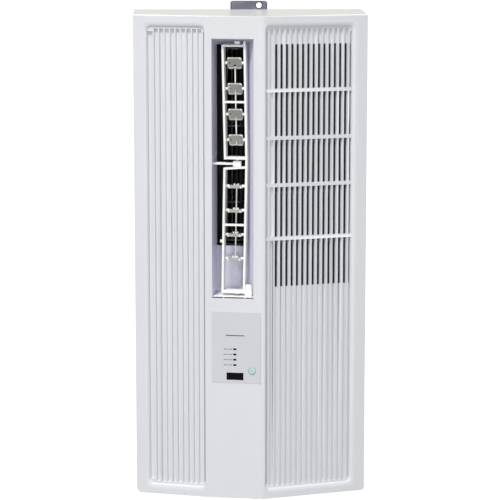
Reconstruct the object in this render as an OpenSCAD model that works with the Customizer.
// Window air conditioner with a vertical outlet, a ribbed front and a narrower outdoor half.
// +X is to the right as seen from the room, -Y faces the room and Z = 0 is the ground under the pan.

/* [Cabinet] */
// Width of the indoor housing
body_w = 360; // [356:1:372]
// Height of the front panel's top edge
body_h = 750; // [748:1:756]
// Depth from the front ridge to the rear grille
body_d = 245; // [240:1:260]
// How far the front ridge stands ahead of the side edges
bulge = 50; // [48:1:52]
// How far the left bend stands behind the ridge
bend_drop = 17; // [15:0.5:19]
// How far the top rises from its front edge to the flange
top_rise = 6.7; // [2:0.1:10]
// Wall thickness of the front panel
wall = 2.5; // [2:0.1:3]
// Depth of the housing ahead of the rear flange's face
indoor_d = 165.5; // [160:0.5:170]
// Width of the outdoor case
outdoor_w = 328; // [316:1:336]

/* [Ribbed recesses] */
// Depth of the rib tops behind the front face
recess_d = 3; // [2:0.1:3.5]
// Depth of the grooves behind the rib tops
groove_d = 3.5; // [2.5:0.1:4]
// Spacing of the ribs
rib_pitch = 8.68; // [8.4:0.01:8.7]
// Width of the flat top of a rib
rib_top_w = 2.4; // [1.6:0.1:3]
// Width of a groove's floor, and of the air slots through it
slot_w = 4.1; // [3:0.1:4.6]
// Number of ribs on the left
left_ribs = 10; // [6:1:10]
// Number of ribs on the right
right_ribs = 16; // [12:1:16]

/* [Outlet] */
// Bottom of the outlet opening
outlet_low = 318.5; // [312:0.5:324]
// Top of the outlet opening
outlet_high = 716.7; // [712:0.1:720]
// Width of the outlet opening along its facet
outlet_w = 64.7; // [62:0.1:68]
// Depth of the duct behind the front face
duct_d = 45; // [42:1:50]
// Spacing of the upper vanes
upper_pitch = 39.1; // [36:0.1:40]
// Spacing of the lower vanes
lower_pitch = 37.5; // [36:0.1:39]
// Tilt of the upper vanes, front edge up, in degrees
upper_tilt = 60; // [40:1:62]

/* [Hidden] */
$fn = 48;

half_w = body_w / 2;
y_ridge = -body_d / 2;
y_rear = body_d / 2;
y_side = y_ridge + bulge;
y_flange = y_ridge + indoor_d;
ridge_x = 15;
bend_x = -70;
left_corner = [-half_w, y_side];
bend = [bend_x, y_ridge + bend_drop];
ridge = [ridge_x, y_ridge];
right_corner = [half_w, y_side];
panel_back = y_side + 27.5;
panel_low = 2;
sheet = 1.2;
lip = 3;
cover_t = 2.5;
inner_y = 1.04 * wall;
duct_front = wall + 0.1;

// Recess outlines, as distances along each facet
left_recess = [21, 112.6];
right_recess = [7, 148.5];
recess_low = 18;
recess_high = 734;
recess_corner = 8;
left_rib_start = 31.2;
right_rib_start = 12.6;
slot_low = 335.7;
slot_high = 707.9;
bar_heights = [638.2, 565.6, 493.3, 410.9];
bar_t = 5.4;

// Outlet, in the middle facet's own frame: along the facet, then into the body
outlet_left = 9.5;
outlet_right = outlet_left + outlet_w;
mouth_right = 54;
mouth_low = 394;
mouth_high = 706.7;
duct_t = 1.5;
sill_top = 321.4;
sill_t = 1.1;
swing_axis = [46.5, 16];
pin_r = 2;
pin_play = 0.05;
rail_t = 3.2;
rail_front = 9;
rail_back = 25;
upper_frame_low = 532.4;
upper_frame_high = 707;
lower_frame_low = 325.6;
lower_frame_high = 519.6;
upper_rails = [[23.3, 26.9], [60.3, 63.2]];
lower_rails = [[26, 22.5], [63.1, 59.2]];
vane_depth = 17;
vane_chord = 19;
vane_t = 1.6;
vane_w = 21.8;
vane_rim = 1.3;
rim_drop = 1.6;
stub_r = 1.5;
ear_r = 2.3;
crank = 8;
rod_pin_r = 0.9;
notch_w = 1.9;
upper_vane_top = 679.4;
lower_vane_top = 490.9;

// Blower, behind the duct mouth
blower_axis = [-22.4, -20];
blower_r = 36;
blower_low = 400;
blower_high = 700;
casing_r = 40.5;

// Inner layout
mid_wall_y = 22;
fan_center = [-20, 480];
fan_r = 122;
compressor_center = [92, 72];
case_low = 14;
case_high = 741;
condenser_y = 94;
condenser_d = 20;
condenser_w = 142;
tube_end = condenser_w + 3;

// Filter and evaporator, in the right facet's own frame
filter_depth = 10.6;
filter_t = 3.6;
filter_low = 326;
filter_high = 714;

function facet_y(x) = x < bend_x
    ? left_corner[1] + (x - left_corner[0]) * (bend[1] - left_corner[1]) / (bend[0] - left_corner[0])
    : x < ridge_x
        ? bend[1] + (x - bend[0]) * (ridge[1] - bend[1]) / (ridge[0] - bend[0])
        : ridge[1] + (x - ridge[0]) * (right_corner[1] - ridge[1]) / (right_corner[0] - ridge[0]);
function top_z(y) = body_h + top_rise * (y - y_ridge) / indoor_d;
function rail_u(rail, low, high, z) = rail[0] + (rail[1] - rail[0]) * (high - z) / (high - low);
function duct_share(depth) = (depth - duct_front) / (duct_d - duct_front);
function duct_right(depth) = outlet_right + (mouth_right - outlet_right) * duct_share(depth);
function duct_top(depth) = outlet_high + (mouth_high - outlet_high) * duct_share(depth);

// ---- helpers ----

// Puts children in the frame of the facet from a to b: x along it, y into the body
module on_facet(a, b) {
    translate([a[0], a[1], 0]) rotate([0, 0, atan2(b[1] - a[1], b[0] - a[0])]) children();
}
module on_left() { on_facet(left_corner, bend) children(); }
module on_mid() { on_facet(bend, ridge) children(); }
module on_right() { on_facet(ridge, right_corner) children(); }

// The front outline in plan, moved back by a distance and closed at y = back
module front_plan(set_back, side, back) {
    polygon([[-half_w + side, facet_y(-half_w + side) + set_back],
        [bend_x, bend[1] + set_back], [ridge_x, ridge[1] + set_back],
        [half_w - side, facet_y(half_w - side) + set_back], [half_w - side, back], [-half_w + side, back]]);
}

// A prism whose outline is given as [y, z] and runs along x
module prism_x(x0, x1, outline) {
    translate([x0, 0, 0]) rotate([90, 0, 90]) linear_extrude(x1 - x0) polygon(outline);
}

// A prism whose outline is given as [x, z] and runs from y0 to y1
module prism_y(y0, y1, outline) {
    translate([0, y1, 0]) rotate([90, 0, 0]) linear_extrude(y1 - y0) polygon(outline);
}

// A box from corner to corner
module box(low, high) {
    translate(low) cube(high - low);
}

// A straight round bar from p to q
module bar(p, q, r) {
    run = q - p;
    translate(p) rotate([0, acos(run[2] / norm(run)), atan2(run[1], run[0])]) cylinder(r = r, h = norm(run));
}

// A pipe through a list of points, with a brazed joint a little thicker than the pipe at each corner
module pipe(points, r) {
    for (i = [0:len(points) - 2]) bar(points[i], points[i + 1], r);
    for (i = [1:len(points) - 2]) translate(points[i]) sphere(r = 1.12 * r);
}

// A rectangle with rounded corners
module round_rect(x0, x1, y0, y1, r) {
    translate([x0 + r, y0]) square([x1 - x0 - 2 * r, y1 - y0]);
    translate([x0, y0 + r]) square([x1 - x0, y1 - y0 - 2 * r]);
    for (x = [x0 + r, x1 - r]) for (y = [y0 + r, y1 - r]) translate([x, y]) circle(r = r);
}

// ---- front panel ----

// The shallow recess that the ribs lie in
module recess_cut(u) {
    translate([0, recess_d, 0]) rotate([90, 0, 0]) linear_extrude(recess_d + 1)
        round_rect(u[0], u[1], recess_low, recess_high, recess_corner);
}

// The grooves that leave the ribs standing, one more of them than there are ribs
module groove_cuts(u, start, count) {
    for (i = [0:count]) {
        low = i == 0 ? u[0] + 0.6 : start + (i - 1) * rib_pitch + rib_top_w / 2;
        high = i == count ? u[1] - 0.6 : start + i * rib_pitch - rib_top_w / 2;
        flank = min((rib_pitch - rib_top_w - slot_w) / 2, (high - low) / 3);
        end = (i == 0 || i == count) ? 7 : 3;
        translate([0, 0, recess_low + end]) linear_extrude(recess_high - recess_low - 2 * end)
            polygon([[low, recess_d - 1], [high, recess_d - 1], [high, recess_d],
                [high - flank, recess_d + groove_d], [low + flank, recess_d + groove_d], [low, recess_d]]);
    }
}

// The air slots, from the second groove between ribs on to a narrower last one
module slot_cuts() {
    for (i = [2:right_ribs]) {
        center = right_rib_start + (i - 0.5) * rib_pitch;
        w = i == right_ribs ? slot_w * 0.6 : slot_w;
        shift = i == right_ribs ? -1.5 : 0;
        box([center + shift - w / 2, 0, slot_low], [center + shift + w / 2, recess_d + groove_d + 6, slot_high]);
    }
}

module recess_tray(u) {
    box([u[0] - wall, 1, recess_low - wall], [u[1] + wall, recess_d + groove_d + 2, recess_high + wall]);
}

module front_panel() {
    color([0.92, 0.93, 0.95]) union() {
        difference() {
            union() {
                difference() {
                    translate([0, 0, panel_low]) linear_extrude(body_h - panel_low) front_plan(0, 0, panel_back);
                    translate([0, 0, panel_low + wall]) linear_extrude(body_h - panel_low - 2 * wall - cover_t)
                        front_plan(inner_y, wall, panel_back + 1);
                }
                on_left() recess_tray(left_recess);
                on_right() recess_tray(right_recess);
            }
            // Seat of the top cover, which leaves a lip along the front edge
            translate([0, 0, body_h - cover_t]) linear_extrude(cover_t + 1) front_plan(lip, -1, panel_back + 1);
            on_left() recess_cut(left_recess);
            on_right() recess_cut(right_recess);
            on_left() groove_cuts(left_recess, left_rib_start, left_ribs);
            on_right() groove_cuts(right_recess, right_rib_start, right_ribs);
            on_right() slot_cuts();
            on_mid() box([outlet_left, -1, outlet_low], [outlet_right, wall + 1, outlet_high]);
            on_mid() display_cuts(-1, wall + 1);
            filter_slot();
        }
        on_right() for (z = bar_heights)
            box([right_recess[0], recess_d - 0.6, z - bar_t / 2],
                [right_recess[1], recess_d + groove_d + 2, z + bar_t / 2]);
    }
}

// The way out for the air filter through the panel's right side, wider where a finger reaches it
module filter_slot() {
    box([half_w - 3 * wall, -62.2, filter_low - 0.7], [half_w + 1, -56.2, filter_high + 0.7]);
    box([half_w - 3 * wall, -67, 505], [half_w + 1, -51, 545]);
}

// ---- cabinet ----

module top_cover() {
    color([0.93, 0.925, 0.90]) difference() {
        intersection() {
            translate([0, 0, body_h - 10]) linear_extrude(40) front_plan(lip + 0.1, 0, y_flange);
            prism_x(-half_w, half_w, [[y_ridge, top_z(y_ridge) - cover_t], [y_flange, top_z(y_flange) - cover_t],
                [y_flange, top_z(y_flange)], [y_ridge, top_z(y_ridge)]]);
        }
        // Notch that the bracket rises through
        box([bracket_x[0] - 0.3, bracket_y - 0.3, body_h - 5], [bracket_x[1] + 0.3, y_flange + 1, body_h + 20]);
    }
}

module housing() {
    color([0.90, 0.90, 0.89]) {
        for (side = [-1, 1])
            intersection() {
                box([side > 0 ? half_w - sheet : -half_w, panel_back, panel_low],
                    [side > 0 ? half_w : -half_w + sheet, y_flange, body_h + 40]);
                prism_x(-half_w, half_w, housing_profile());
            }
        // Rear flange, which seats against the window's mounting frame
        intersection() {
            difference() {
                box([-half_w, y_flange - sheet, panel_low], [half_w, y_flange, body_h + 40]);
                box([-outdoor_w / 2 - 0.5, y_flange - 5, -10], [outdoor_w / 2 + 0.5, y_flange + 5, case_high + 0.5]);
                bracket_screw_holes();
            }
            prism_x(-half_w, half_w, housing_profile());
        }
    }
}

// Side view of the housing, under the sloping top cover
function housing_profile() = [[panel_back, 0], [y_flange, 0], [y_flange, top_z(y_flange) - cover_t],
    [panel_back, top_z(panel_back) - cover_t]];

module pan_plan(inset) {
    in_w = half_w - 3;
    out_w = outdoor_w / 2 - 1.5;
    polygon([[-in_w + inset, panel_back + 1 + inset], [in_w - inset, panel_back + 1 + inset],
        [in_w - inset, y_flange - 2 - inset], [out_w - inset, y_flange - 2 - inset],
        [out_w - inset, y_rear - 5 - inset], [-out_w + inset, y_rear - 5 - inset],
        [-out_w + inset, y_flange - 2 - inset], [-in_w + inset, y_flange - 2 - inset]]);
}

module base_pan() {
    color([0.72, 0.73, 0.74]) difference() {
        linear_extrude(case_low - 1) pan_plan(0);
        translate([0, 0, 1.5]) linear_extrude(case_low) pan_plan(1.5);
        // Drain hole
        translate([-120, 90, -1]) cylinder(r = 6, h = 4);
    }
}

module outdoor_case() {
    w = outdoor_w / 2;
    color([0.90, 0.90, 0.89]) difference() {
        box([-w, y_flange, case_low], [w, y_rear - 3.5, case_high]);
        box([-w + sheet, y_flange - 1, case_low + sheet], [w - sheet, y_rear - 3.5 - sheet, case_high - sheet]);
        // Opening for the condenser's air
        box([-148, y_rear - 10, 226], [148, y_rear, 724]);
        // Air slots in both sides
        for (side = [-1, 1]) for (i = [0:17])
            translate([side * w, y_flange + 14, 262 + i * 24]) translate([-3, 0, 0]) cube([6, 32, 8]);
        // Way in for the base pan's rim
        box([-w + 1, y_flange - 1, case_low - 1], [w - 1, y_rear - 3.5 - sheet, case_low + sheet + 1]);
    }
}

module rear_grille() {
    w = 156;
    low = 218;
    high = 732;
    color([0.86, 0.86, 0.85]) difference() {
        box([-w, y_rear - 3.5, low], [w, y_rear, high]);
        for (i = [0:19]) for (x = [-147, 3])
            box([x, y_rear - 5, low + 9 + i * 25.1], [x + 144, y_rear + 1, low + 9 + i * 25.1 + 19]);
    }
}

// Foam strip round the outdoor case, against the mounting frame
module frame_gasket() {
    w = outdoor_w / 2;
    color([0.16, 0.16, 0.17]) translate([0, y_flange + 6, 0]) rotate([90, 0, 0]) linear_extrude(6) difference() {
        translate([-w - 6, case_low + 6]) square([2 * w + 12, case_high - case_low]);
        translate([-w - 0.1, case_low - 10]) square([2 * w + 0.2, case_high - case_low + 10.1]);
    }
}

// ---- top bracket ----

bracket_x = [-28, 30.4];
bracket_t = 2;
bracket_y = y_flange - sheet - bracket_t;
bracket_low = 743;
bracket_high = body_h + top_rise + 13;
bracket_corner = 4;
bracket_hole = [17.2, body_h + top_rise + 6.2];
bracket_screw_x = [-12, 14];
bracket_screw_z = 750.6;
bracket_screw_r = 1.6;

module bracket_screw_holes() {
    for (x = bracket_screw_x) translate([x, y_flange + 1, bracket_screw_z]) rotate([90, 0, 0])
        cylinder(r = bracket_screw_r + 0.1, h = sheet + bracket_t + 3);
}

// Upright plate with rounded top corners, screwed to the front of the rear flange
module top_bracket() {
    color([0.66, 0.67, 0.73]) difference() {
        translate([0, bracket_y + bracket_t, 0]) rotate([90, 0, 0]) linear_extrude(bracket_t) {
            round_rect(bracket_x[0], bracket_x[1], bracket_low, bracket_high, bracket_corner);
            translate([bracket_x[0], bracket_low])
                square([bracket_x[1] - bracket_x[0], bracket_high - bracket_low - bracket_corner]);
        }
        translate([bracket_hole[0], y_flange + 1, bracket_hole[1]]) rotate([90, 0, 0]) cylinder(r = 4.5, h = 10);
        bracket_screw_holes();
    }
}

module bracket_screws() {
    color([0.80, 0.80, 0.82]) for (x = bracket_screw_x) translate([x, y_flange, bracket_screw_z]) {
        rotate([-90, 0, 0]) pan_head();
        rotate([90, 0, 0]) cylinder(r = bracket_screw_r, h = sheet + bracket_t);
    }
}

// Screws along the flanks of the housing and on the outdoor case's back
module case_screws() {
    color([0.78, 0.78, 0.80]) {
        for (side = [-1, 1]) for (z = [60, 375, 690])
            translate([side * half_w, 20, z]) rotate([0, side * 90, 0]) pan_head();
        for (x = [-156, 156]) for (z = [30, 200])
            translate([x, y_rear - 3.5, z]) rotate([-90, 0, 0]) pan_head();
    }
}

module pan_head() {
    difference() {
        cylinder(r = 3.2, h = 1.6);
        for (a = [0, 90]) rotate([0, 0, a]) translate([-2, -0.5, 0.8]) cube([4, 1, 1]);
    }
}

// ---- outlet ----

// Plan of the tapering duct, grown by t on both sides
module duct_plan(t, front, back) {
    polygon([[outlet_left - t, front], [duct_right(front) + t, front],
        [duct_right(back) + t, back], [outlet_left - t, back]]);
}

module outlet_duct() {
    color([0.64, 0.64, 0.71]) on_mid() difference() {
        intersection() {
            translate([0, 0, outlet_low - 6]) linear_extrude(outlet_high - outlet_low + 20)
                duct_plan(duct_t, duct_front, duct_d + duct_t);
            prism_x(0, outlet_right + 10, [[0, outlet_low - 4], [duct_d + 5, outlet_low - 4],
                [duct_d + 5, duct_top(duct_d + 5) + duct_t], [0, duct_top(0) + duct_t]]);
        }
        intersection() {
            translate([0, 0, outlet_low - 6]) linear_extrude(outlet_high - outlet_low + 20)
                duct_plan(0, duct_front - 1, duct_d);
            prism_x(0, outlet_right + 10, [[0, outlet_low - 2.5], [duct_d + 5, outlet_low - 2.5],
                [duct_d + 5, duct_top(duct_d + 5)], [0, duct_top(0)]]);
        }
        // Mouth towards the blower
        box([outlet_left, duct_d - 1, mouth_low], [duct_right(duct_d), duct_d + 5, mouth_high - 0.5]);
        // Way through for the swing motor's shaft
        translate([swing_axis[0], swing_axis[1], outlet_low - 10]) cylinder(r = pin_r + 0.6, h = 20);
    }
}

module outlet_sill() {
    color([0.93, 0.93, 0.93]) on_mid() difference() {
        union() {
            translate([0, 0, sill_top - sill_t]) linear_extrude(sill_t)
                polygon([[outlet_left + 0.3, 0.4], [outlet_right - 0.3, 0.4], [outlet_right - 0.3, duct_front],
                    [duct_right(duct_d) - 0.4, duct_d - 0.3], [outlet_left + 0.3, duct_d - 0.3]]);
            for (u = [26.5, 60]) box([u, 0.4, outlet_low + 0.1], [u + 1.6, 2.4, sill_top - sill_t / 2]);
        }
        translate([swing_axis[0], swing_axis[1], outlet_low - 10]) cylinder(r = pin_r + 0.6, h = 20);
    }
}

// Fixed bar that reaches into the gap in the louver frame's left side, with the bush that the frame turns in
module louver_cross_bar() {
    color([0.92, 0.92, 0.93]) on_mid() difference() {
        union() {
            box([outlet_left, 12, 524], [swing_axis[0] - 5, 20, 527.4]);
            box([swing_axis[0] - 6, 11.5, 521.4], [swing_axis[0] + 6, 20.5, 530]);
        }
        translate([swing_axis[0], swing_axis[1], 515]) cylinder(r = pin_r + pin_play, h = 20);
    }
}

module upper_pivot_block() {
    color([0.86, 0.86, 0.92]) on_mid() difference() {
        box([swing_axis[0] - 3.8, 12.4, 708.6], [swing_axis[0] + 3.8, 19.6, duct_top(19.6)]);
        translate([swing_axis[0], swing_axis[1], 700]) cylinder(r = pin_r + pin_play, h = 11);
    }
}

// Rounded cover of the swing drive, beside the louver frame's foot
module swing_motor_cover() {
    color([0.94, 0.94, 0.94]) on_mid() difference() {
        union() {
            box([60.8, 3, sill_top], [70.4, 9.6, 335.6]);
            box([60.8, 3, sill_top], [66.4, 9.6, 339.6]);
            translate([66.4, 9.6, 335.6]) rotate([90, 0, 0]) cylinder(r = 4, h = 6.6);
            translate([65.3, 9.6, sill_top + 6]) rotate([90, 0, 0]) cylinder(r = 6, h = 6.6);
        }
        box([62, 4.2, sill_top - 1], [69.2, 11, 334]);
    }
}

module swing_motor() {
    color([0.62, 0.64, 0.66]) on_mid() union() {
        translate([swing_axis[0], swing_axis[1], 298]) cylinder(r = 11.5, h = 16);
        translate([swing_axis[0], swing_axis[1], 310]) cylinder(r = pin_r, h = 18);
        box([swing_axis[0] - 17, swing_axis[1] - 3.5, 312], [swing_axis[0] + 17, swing_axis[1] + 3.5, 313.6]);
    }
}

// One half of the louver frame: two rails, a middle piece and the holes for four vanes
module louver_half(rails, low, high, middle, vane_heights) {
    inner_left = function(z) rail_u(rails[0], low, high, z) + rail_t;
    inner_right = function(z) rail_u(rails[1], low, high, z) - rail_t;
    difference() {
        union() {
            prism_y(rail_front, rail_back, [[rails[0][1], low], [rails[0][1] + rail_t, low],
                [rails[0][0] + rail_t, high], [rails[0][0], high]]);
            prism_y(rail_front, rail_back, [[rails[1][1] - rail_t, low], [rails[1][1], low],
                [rails[1][0], high], [rails[1][0] - rail_t, high]]);
            box([inner_left(middle) - 1, rail_front, middle - 1.6],
                [inner_right(middle) + 1, rail_front + 3.4, middle + 1.6]);
        }
        for (z = vane_heights)
            translate([inner_left(z) - 2, vane_depth, z]) rotate([0, 90, 0])
                cylinder(r = stub_r + pin_play, h = inner_right(z) - inner_left(z) + 4);
    }
}

// A cross piece between the two rails, from height z0 on the left to z1 on the right
module cross_piece(u0, u1, z0, z1, t) {
    prism_y(rail_front, rail_back, [[u0, z0], [u1, z1], [u1, z1 + t], [u0, z0 + t]]);
}

function upper_heights() = [for (i = [0:3]) upper_vane_top - i * upper_pitch];
function lower_heights() = [for (i = [0:3]) lower_vane_top - i * lower_pitch];

// The louver frame: its right rail runs the whole height, and its left side is open round the fixed bar
module louver_frame() {
    right_top = upper_rails[1][0];
    right_middle = upper_rails[1][1];
    color([0.94, 0.94, 0.93]) on_mid() difference() {
        union() {
            louver_half(upper_rails, upper_frame_low, upper_frame_high, 620.3, upper_heights());
            louver_half(lower_rails, lower_frame_low, lower_frame_high, 431.5, lower_heights());
            cross_piece(upper_rails[0][0] + 1, right_top - 1, upper_frame_high - 3, upper_frame_high - 3, 3);
            cross_piece(upper_rails[0][1] + 1, right_middle - 1, upper_frame_low + 0.4, upper_frame_low, 3.6);
            cross_piece(lower_rails[0][0] + 1, lower_rails[1][0] - 1, lower_frame_high - 3, lower_frame_high - 0.7, 3);
            cross_piece(lower_rails[0][1] + 1, lower_rails[1][1] - 1, lower_frame_low, lower_frame_low, 4);
            // The right rail past the middle, and its tip above the top cross piece
            prism_y(rail_front, rail_back, [[lower_rails[1][0] - rail_t, lower_frame_high - 1],
                [lower_rails[1][0], lower_frame_high - 1], [right_middle, upper_frame_low + 1],
                [right_middle - rail_t, upper_frame_low + 1]]);
            box([right_top - rail_t, rail_front, upper_frame_high - 1], [right_top, rail_front + 2.5, 712.6]);
            // Pins on the swing axis: in the top block, and into the bush from above and from below
            for (z = [[upper_frame_high - 1, 710.6], [526, upper_frame_low + 2], [lower_frame_high - 1, 525]])
                translate([swing_axis[0], swing_axis[1], z[0]]) cylinder(r = pin_r, h = z[1] - z[0]);
            translate([swing_axis[0], swing_axis[1], lower_frame_low - 1.6]) cylinder(r = 5, h = 3.6);
            // Small tab that turns the frame by hand
            translate([lower_rails[0][0] - 5.4, rail_front + 1, 404]) cube([4, 4, 4]);
        }
        translate([swing_axis[0], swing_axis[1], lower_frame_low - 4]) cylinder(r = pin_r + pin_play, h = 12);
    }
}

// A vane on its stubs, tilted by an angle with its front edge up. A rim stands under its plate, and the notch
// at its back holds the rod's pin between two small webs
module vane(rails, low, high, z, tilt) {
    left = rail_u(rails[0], low, high, z) + rail_t;
    right = rail_u(rails[1], low, high, z) - rail_t;
    mid = (left + right) / 2;
    reach = (right - left) / 2;
    w = vane_w / 2;
    c = vane_chord / 2;
    color([0.80, 0.79, 0.77]) on_mid() translate([mid, vane_depth, z]) rotate([-tilt, 0, 0]) union() {
        difference() {
            union() {
                translate([0, 0, -vane_t / 2 - rim_drop]) linear_extrude(vane_t + rim_drop) round_rect(-w, w, -c, c, 3);
                for (side = [-1, 1]) box([side * 3 - 1.2, 4.4, 0], [side * 3 + 1.2, 5.6, 3.4]);
            }
            translate([0, 0, -vane_t / 2 - rim_drop - 1]) linear_extrude(rim_drop + 1)
                round_rect(-w + vane_rim, w - vane_rim, -c + vane_rim, c - vane_rim, 3 - vane_rim);
            // Notch round the link rod, and the small slot near the left end
            box([-notch_w, 2.6, -5], [notch_w, vane_chord, 5]);
            box([-w + 2.2, -2.3, -5], [-w + 3.8, 2.3, 5]);
        }
        for (side = [-1, 1]) {
            translate([side > 0 ? w - 1 : -reach + 0.3, 0, 0]) rotate([0, 90, 0]) cylinder(r = ear_r, h = reach - w + 0.7);
            translate([side > 0 ? reach - 0.4 : -reach - 1.6, 0, 0]) rotate([0, 90, 0]) cylinder(r = stub_r, h = 2);
        }
        translate([-notch_w - 0.6, crank, 0]) rotate([0, 90, 0]) cylinder(r = rod_pin_r, h = 2 * notch_w + 1.2);
    }
}

module upper_vane(i) {
    vane(upper_rails, upper_frame_low, upper_frame_high, upper_heights()[i], upper_tilt);
}
module lower_vane(i) { vane(lower_rails, lower_frame_low, lower_frame_high, lower_heights()[i], 0); }
module upper_vane_1() { upper_vane(0); }
module upper_vane_2() { upper_vane(1); }
module upper_vane_3() { upper_vane(2); }
module upper_vane_4() { upper_vane(3); }
module lower_vane_1() { lower_vane(0); }
module lower_vane_2() { lower_vane(1); }
module lower_vane_3() { lower_vane(2); }
module lower_vane_4() { lower_vane(3); }

// Rod through the pins of four vanes; each eye follows its vane's place between the slanting rails
module link_rod(rails, low, high, heights, tilt) {
    mid = function(z) (rail_u(rails[0], low, high, z) + rail_u(rails[1], low, high, z)) / 2;
    back = crank * cos(tilt);
    drop = crank * sin(tilt);
    color([0.93, 0.93, 0.93]) on_mid() translate([0, vane_depth + back, -drop]) difference() {
        union() {
            for (z = heights) translate([mid(z) - 1.1, 0, z]) rotate([0, 90, 0]) cylinder(r = 1.9, h = 2.2);
            prism_y(-0.7, 0.7, [[mid(heights[3]) - 0.9, heights[3]], [mid(heights[3]) + 0.9, heights[3]],
                [mid(heights[0]) + 0.9, heights[0]], [mid(heights[0]) - 0.9, heights[0]]]);
        }
        for (z = heights) translate([mid(z) - 3, 0, z]) rotate([0, 90, 0]) cylinder(r = rod_pin_r + pin_play, h = 6);
    }
}

module upper_link_rod() {
    link_rod(upper_rails, upper_frame_low, upper_frame_high, upper_heights(), upper_tilt);
}
module lower_link_rod() { link_rod(lower_rails, lower_frame_low, lower_frame_high, lower_heights(), 0); }

// ---- blower ----

// Curved wall round the left and the back of the blower, with an end plate above and below it
module scroll_casing() {
    low = mouth_low;
    high = mouth_high;
    color([0.10, 0.10, 0.11]) translate([blower_axis[0], blower_axis[1], 0]) {
        difference() {
            translate([0, 0, low]) cylinder(r = casing_r, h = high - low);
            translate([0, 0, low - 1]) cylinder(r = casing_r - 1.5, h = high - low + 2);
            // Open towards the duct and, on the right, towards the evaporator
            translate([0, 0, low - 1]) linear_extrude(high - low + 2)
                polygon([[0, 0], [-40, -70], [70, -70], [70, 60], [20, 60]]);
        }
        difference() {
            union() {
                translate([0, 0, low]) cylinder(r = casing_r, h = 2);
                translate([0, 0, high - 2]) cylinder(r = casing_r, h = 2);
            }
            translate([0, 0, low - 1]) cylinder(r = 6, h = high - low + 2);
        }
    }
}

module blower_wheel() {
    blades = 28;
    discs = 6;
    step = (blower_high - blower_low - 2) / (discs - 1);
    color([0.13, 0.13, 0.14]) translate([blower_axis[0], blower_axis[1], 0]) {
        for (i = [1:discs - 2]) translate([0, 0, blower_low + i * step]) difference() {
            cylinder(r = blower_r, h = 2);
            translate([0, 0, -1]) cylinder(r = blower_r - 9, h = 4);
        }
        for (z = [blower_low, blower_high - 2]) translate([0, 0, z]) cylinder(r = blower_r, h = 2);
        for (i = [0:blades - 1]) rotate([0, 0, i * 360 / blades]) translate([blower_r - 6, 0, blower_low])
            rotate([0, 0, 25]) translate([-2, -0.5, 0.5]) cube([7.4, 1, blower_high - blower_low - 1]);
        translate([0, 0, blower_high - 1]) cylinder(r = 3, h = 12);
        translate([0, 0, blower_low - 20]) cylinder(r = 3, h = 21);
    }
}

module blower_bearing() {
    color([0.25, 0.25, 0.27]) translate([blower_axis[0], blower_axis[1], mouth_high + 0.1]) difference() {
        union() {
            cylinder(r = 12, h = 2);
            cylinder(r = 8, h = 8);
        }
        translate([0, 0, -1]) cylinder(r = 3 + pin_play, h = 12);
    }
}

module blower_motor() {
    color([0.60, 0.61, 0.63]) translate([blower_axis[0], blower_axis[1], 0]) difference() {
        union() {
            translate([0, 0, 326]) cylinder(r = 33, h = 50);
            translate([0, 0, 376]) cylinder(r = 12, h = 6);
            translate([0, 0, 322]) cylinder(r = 12, h = 4);
        }
        translate([0, 0, 370]) cylinder(r = 3 + pin_play, h = 20);
    }
}

// ---- indoor coil and filter ----

// Frame, ribs and mesh of the filter, in the right facet's frame; it slides out along the facet
module air_filter() {
    start = 8;
    end = 173;
    color([0.20, 0.20, 0.21]) on_right() {
        difference() {
            box([start, filter_depth, filter_low], [end, filter_depth + filter_t, filter_high]);
            for (i = [0:1]) for (j = [0:4]) {
                low = start + 5 + i * 81;
                z = filter_low + 5 + j * 76.4;
                box([low, filter_depth - 1, z], [low + 78, filter_depth + 5, z + 72.4]);
            }
        }
        box([start + 2, filter_depth + 1.5, filter_low + 2], [end - 2, filter_depth + 2.1, filter_high - 2]);
        // Finger tab
        box([end, filter_depth - 1.5, 508], [end + 2.6, filter_depth + filter_t + 1.5, 542]);
    }
}

module evaporator_fins() {
    color([0.70, 0.72, 0.74]) on_right() difference() {
        box([12, 24, 330], [150, 42, 706]);
        for (u = coil_columns()) for (d = [28.5, 37.5])
            translate([u, d, 300]) cylinder(r = 3.6, h = 450);
    }
}

function coil_columns() = [for (i = [0:6]) 21 + i * 20];

// Hairpin tubes through the fins, joined by bends above and below them
module evaporator_tubes() {
    color([0.75, 0.46, 0.30]) on_right() {
        for (u = coil_columns()) for (d = [28.5, 37.5]) translate([u, d, 326]) cylinder(r = 3.5, h = 384);
        for (i = [0:5]) for (d = [28.5, 37.5]) {
            high = (i + (d > 30 ? 1 : 0)) % 2 == 0;
            translate([21 + i * 20 + 10, d, high ? 710 : 326]) rotate([high ? 90 : -90, 0, 0])
                rotate_extrude(angle = 180) translate([10, 0]) circle(r = 3.5);
        }
    }
}

module drain_pan() {
    color([0.82, 0.82, 0.80]) on_right() difference() {
        box([8, 20, 296], [156, 46, 314]);
        box([9.5, 21.5, 298], [154.5, 44.5, 315]);
        // Outlet spout's hole
        translate([20, 40, 290]) cylinder(r = 4, h = 20);
    }
}

module mid_wall() {
    color([0.90, 0.90, 0.88]) difference() {
        box([-half_w + 3, mid_wall_y, case_low], [half_w - 3, mid_wall_y + 4, body_h - 4]);
        // Ways through for the two refrigerant pipes
        for (z = [270, 292]) translate([120, mid_wall_y - 1, z]) rotate([-90, 0, 0]) cylinder(r = 5.5, h = 6);
        // Motor seat
        translate([fan_center[0], mid_wall_y - 1, fan_center[1]]) rotate([-90, 0, 0]) cylinder(r = 4, h = 6);
    }
}

// ---- outdoor coil, fan and compressor ----

module condenser_fins() {
    color([0.68, 0.70, 0.72]) difference() {
        box([-condenser_w, condenser_y, 232], [condenser_w, condenser_y + condenser_d, 718]);
        for (z = condenser_rows()) translate([-160, condenser_y + 10, z]) rotate([0, 90, 0]) cylinder(r = 3.6, h = 320);
    }
}

function condenser_rows() = [for (i = [0:19]) 244 + i * 24.2];

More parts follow.
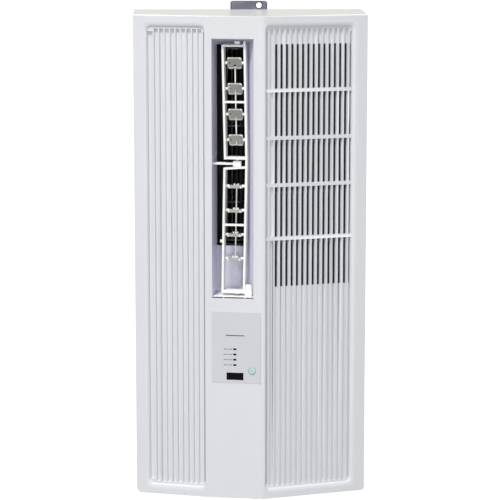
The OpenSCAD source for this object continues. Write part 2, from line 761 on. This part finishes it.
module condenser_tubes() {
    color([0.75, 0.46, 0.30]) for (i = [0:19]) {
        z = condenser_rows()[i];
        translate([-tube_end, condenser_y + 10, z]) rotate([0, 90, 0]) cylinder(r = 3.5, h = 2 * tube_end);
        if (i < 19) translate([i % 2 == 0 ? -tube_end : tube_end, condenser_y + 10, z + 12.1])
            rotate([90, 0, 0]) rotate([0, 0, i % 2 == 0 ? 90 : -90]) rotate_extrude(angle = 180)
                translate([12.1, 0]) circle(r = 3.5);
    }
}

module fan_shroud() {
    color([0.30, 0.31, 0.33]) difference() {
        union() {
            box([-158, 88, 222], [158, 90, 728]);
            translate([fan_center[0], 64, fan_center[1]]) rotate([-90, 0, 0]) cylinder(r = fan_r + 8, h = 25);
        }
        translate([fan_center[0], 60, fan_center[1]]) rotate([-90, 0, 0]) cylinder(r = fan_r + 6, h = 40);
    }
}

module condenser_fan() {
    color([0.24, 0.25, 0.27]) translate([fan_center[0], 70, fan_center[1]]) rotate([-90, 0, 0]) {
        difference() {
            cylinder(r = 30, h = 16);
            translate([0, 0, -1]) cylinder(r = 28, h = 14);
        }
        difference() {
            cylinder(r = 7, h = 14);
            translate([0, 0, -1]) cylinder(r = 3 + pin_play, h = 14);
        }
        for (i = [0:4]) rotate([0, 0, i * 72]) translate([0, 0, 8]) rotate([24, 0, 0]) linear_extrude(2)
            polygon([[28.6, -14], [60, -22], [100, -20], [112, -8], [114, 6], [104, 18], [70, 16], [28.6, 10]]);
    }
}

module condenser_fan_motor() {
    color([0.60, 0.61, 0.63]) translate([fan_center[0], 0, fan_center[1]]) rotate([-90, 0, 0]) {
        translate([0, 0, 30]) cylinder(r = 34, h = 32);
        translate([0, 0, 62]) cylinder(r = 10, h = 5);
        translate([0, 0, 62]) cylinder(r = 3, h = 20);
    }
}

module motor_bracket() {
    color([0.70, 0.71, 0.72]) difference() {
        union() {
            box([fan_center[0] - 10, mid_wall_y + 4.2, 240], [fan_center[0] + 10, 29.8, 720]);
            translate([fan_center[0], mid_wall_y + 4.2, fan_center[1]]) rotate([-90, 0, 0]) cylinder(r = 40, h = 3.6);
        }
        for (z = [250, 710]) translate([fan_center[0], mid_wall_y, z]) rotate([-90, 0, 0]) cylinder(r = 2.2, h = 20);
    }
}

module compressor() {
    c = compressor_center;
    color([0.11, 0.11, 0.12]) translate([c[0], c[1], 0]) {
        translate([0, 0, 26]) cylinder(r = 40, h = 150);
        translate([0, 0, 176]) intersection() {
            translate([0, 0, -36]) sphere(r = 54);
            cylinder(r = 40, h = 30);
        }
        translate([0, 0, 190]) cylinder(r = 12, h = 10);
        difference() {
            translate([0, 0, 22]) cylinder(r = 42, h = 4);
            for (a = [0, 120, 240]) rotate([0, 0, a]) translate([36, 0, 20]) cylinder(r = 4.5, h = 10);
        }
    }
}

module compressor_mounts() {
    c = compressor_center;
    color([0.14, 0.14, 0.14]) for (a = [0, 120, 240])
        translate([c[0], c[1], 0]) rotate([0, 0, a]) translate([36, 0, 1.5]) {
            cylinder(r = 9, h = 20.5);
            cylinder(r = 4.4, h = 24);
        }
}

module accumulator() {
    color([0.13, 0.13, 0.14]) translate([30, 74, 0]) {
        translate([0, 0, 60]) cylinder(r = 18, h = 96);
        for (z = [60, 156]) translate([0, 0, z]) intersection() {
            sphere(r = 18);
            translate([0, 0, -12]) cylinder(r = 17.5, h = 24);
        }
    }
}

// Suction line, liquid line and the short pipes round the compressor
module refrigerant_pipes() {
    c = compressor_center;
    color([0.76, 0.47, 0.30]) {
        pipe([[30, 74, 44], [30, 74, 36], [c[0] - 40, 74, 36]], 3.5);
        pipe([[c[0], c[1], 200], [c[0], c[1], 212], [155, c[1], 212], [155, condenser_y + 10, 212],
            [155, condenser_y + 10, 244], [tube_end + 0.2, condenser_y + 10, 244]], 3);
        pipe([[30, 74, 172], [30, 74, 202], [30, 40, 202], [120, 40, 202], [120, 40, 270], [120, -48, 270],
            [144, -48, 270], [144, -48, 284]], 4);
    }
}

// ---- display and controls ----

led_u = 45;
led_heights = [239, 230.7, 222.5, 214.1];
receiver_u = [32, 58.6];
receiver_z = [190.5, 202];
button_u = 71.9;
button_z = 205.8;
button_r = 5.9;

// Openings for the lamps, the receiver window and the button
module display_cuts(front, back) {
    for (z = led_heights) box([led_u - 2.5, front, z - 1.35], [led_u + 2.5, back, z + 1.35]);
    box([receiver_u[0], front, receiver_z[0]], [receiver_u[1], back, receiver_z[1]]);
    translate([button_u, back, button_z]) rotate([90, 0, 0]) cylinder(r = button_r + 0.3, h = back - front);
}

module control_label() {
    color([0.89, 0.90, 0.92]) on_mid() difference() {
        box([9, -0.4, 185.8], [85.2, 0, 297.5]);
        display_cuts(-1, 1);
    }
}

module indicator_lenses() {
    color([0.05, 0.06, 0.06]) on_mid() for (z = led_heights)
        box([led_u - 2.4, -0.5, z - 1.25], [led_u + 2.4, wall + 1.2, z + 1.25]);
}

module receiver_window() {
    color([0.04, 0.04, 0.05]) on_mid() union() {
        box([receiver_u[0] + 0.1, -0.6, receiver_z[0] + 0.1], [receiver_u[1] - 0.1, wall + 1, receiver_z[1] - 0.1]);
        box([receiver_u[0] - 2, duct_front, receiver_z[0] - 1], [receiver_u[1] + 2, wall + 1.2, receiver_z[1] + 1]);
    }
}

module power_button() {
    color([0.84, 0.93, 0.90]) on_mid() translate([button_u, 0, button_z]) rotate([-90, 0, 0]) {
        translate([0, 0, -1]) cylinder(r = button_r, h = wall + 2.2);
        translate([0, 0, wall + 0.8]) cylinder(r = button_r + 1.6, h = 1.2);
        cylinder(r = 1.6, h = wall + 4.2);
    }
}

module display_board() {
    color([0.20, 0.45, 0.30]) on_mid() {
        box([14, 9.4, 187], [82, 11, 250]);
        for (z = led_heights) box([led_u - 1.5, 6, z - 1], [led_u + 1.5, 9.4, z + 1]);
        box([receiver_u[0] + 8, 5.4, receiver_z[0] + 2], [receiver_u[1] - 8, 9.4, receiver_z[1] - 2]);
        box([button_u - 3, 8.2, button_z - 3], [button_u + 3, 9.4, button_z + 3]);
    }
}

module control_box() {
    color([0.72, 0.73, 0.74]) difference() {
        box([-150, -64, 40], [-66, 14, 268]);
        box([-148.5, -65, 41.5], [-67.5, 12.5, 266.5]);
    }
}

module control_board() {
    color([0.25, 0.42, 0.26]) {
        box([-146, 2, 50], [-70, 3.6, 258]);
        box([-136, -22, 66], [-112, 2, 100]);
        box([-104, -16, 70], [-80, 2, 92]);
        for (i = [0:3]) box([-138 + i * 15, -12, 200], [-128 + i * 15, 2, 216]);
    }
}

module run_capacitor() {
    color([0.78, 0.78, 0.80]) {
        translate([-96, -24, 118]) cylinder(r = 16, h = 60);
        for (x = [-101, -91]) translate([x, -25, 178]) cube([2, 5, 8]);
    }
}

front_panel();
top_cover();
housing();
base_pan();
outdoor_case();
rear_grille();
frame_gasket();
top_bracket();
bracket_screws();
case_screws();
outlet_duct();
outlet_sill();
louver_cross_bar();
upper_pivot_block();
swing_motor_cover();
swing_motor();
louver_frame();
upper_vane_1();
upper_vane_2();
upper_vane_3();
upper_vane_4();
lower_vane_1();
lower_vane_2();
lower_vane_3();
lower_vane_4();
upper_link_rod();
lower_link_rod();
scroll_casing();
blower_wheel();
blower_bearing();
blower_motor();
air_filter();
evaporator_fins();
evaporator_tubes();
drain_pan();
mid_wall();
condenser_fins();
condenser_tubes();
fan_shroud();
condenser_fan();
condenser_fan_motor();
motor_bracket();
compressor();
compressor_mounts();
accumulator();
refrigerant_pipes();
control_label();
indicator_lenses();
receiver_window();
power_button();
display_board();
control_box();
control_board();
run_capacitor();
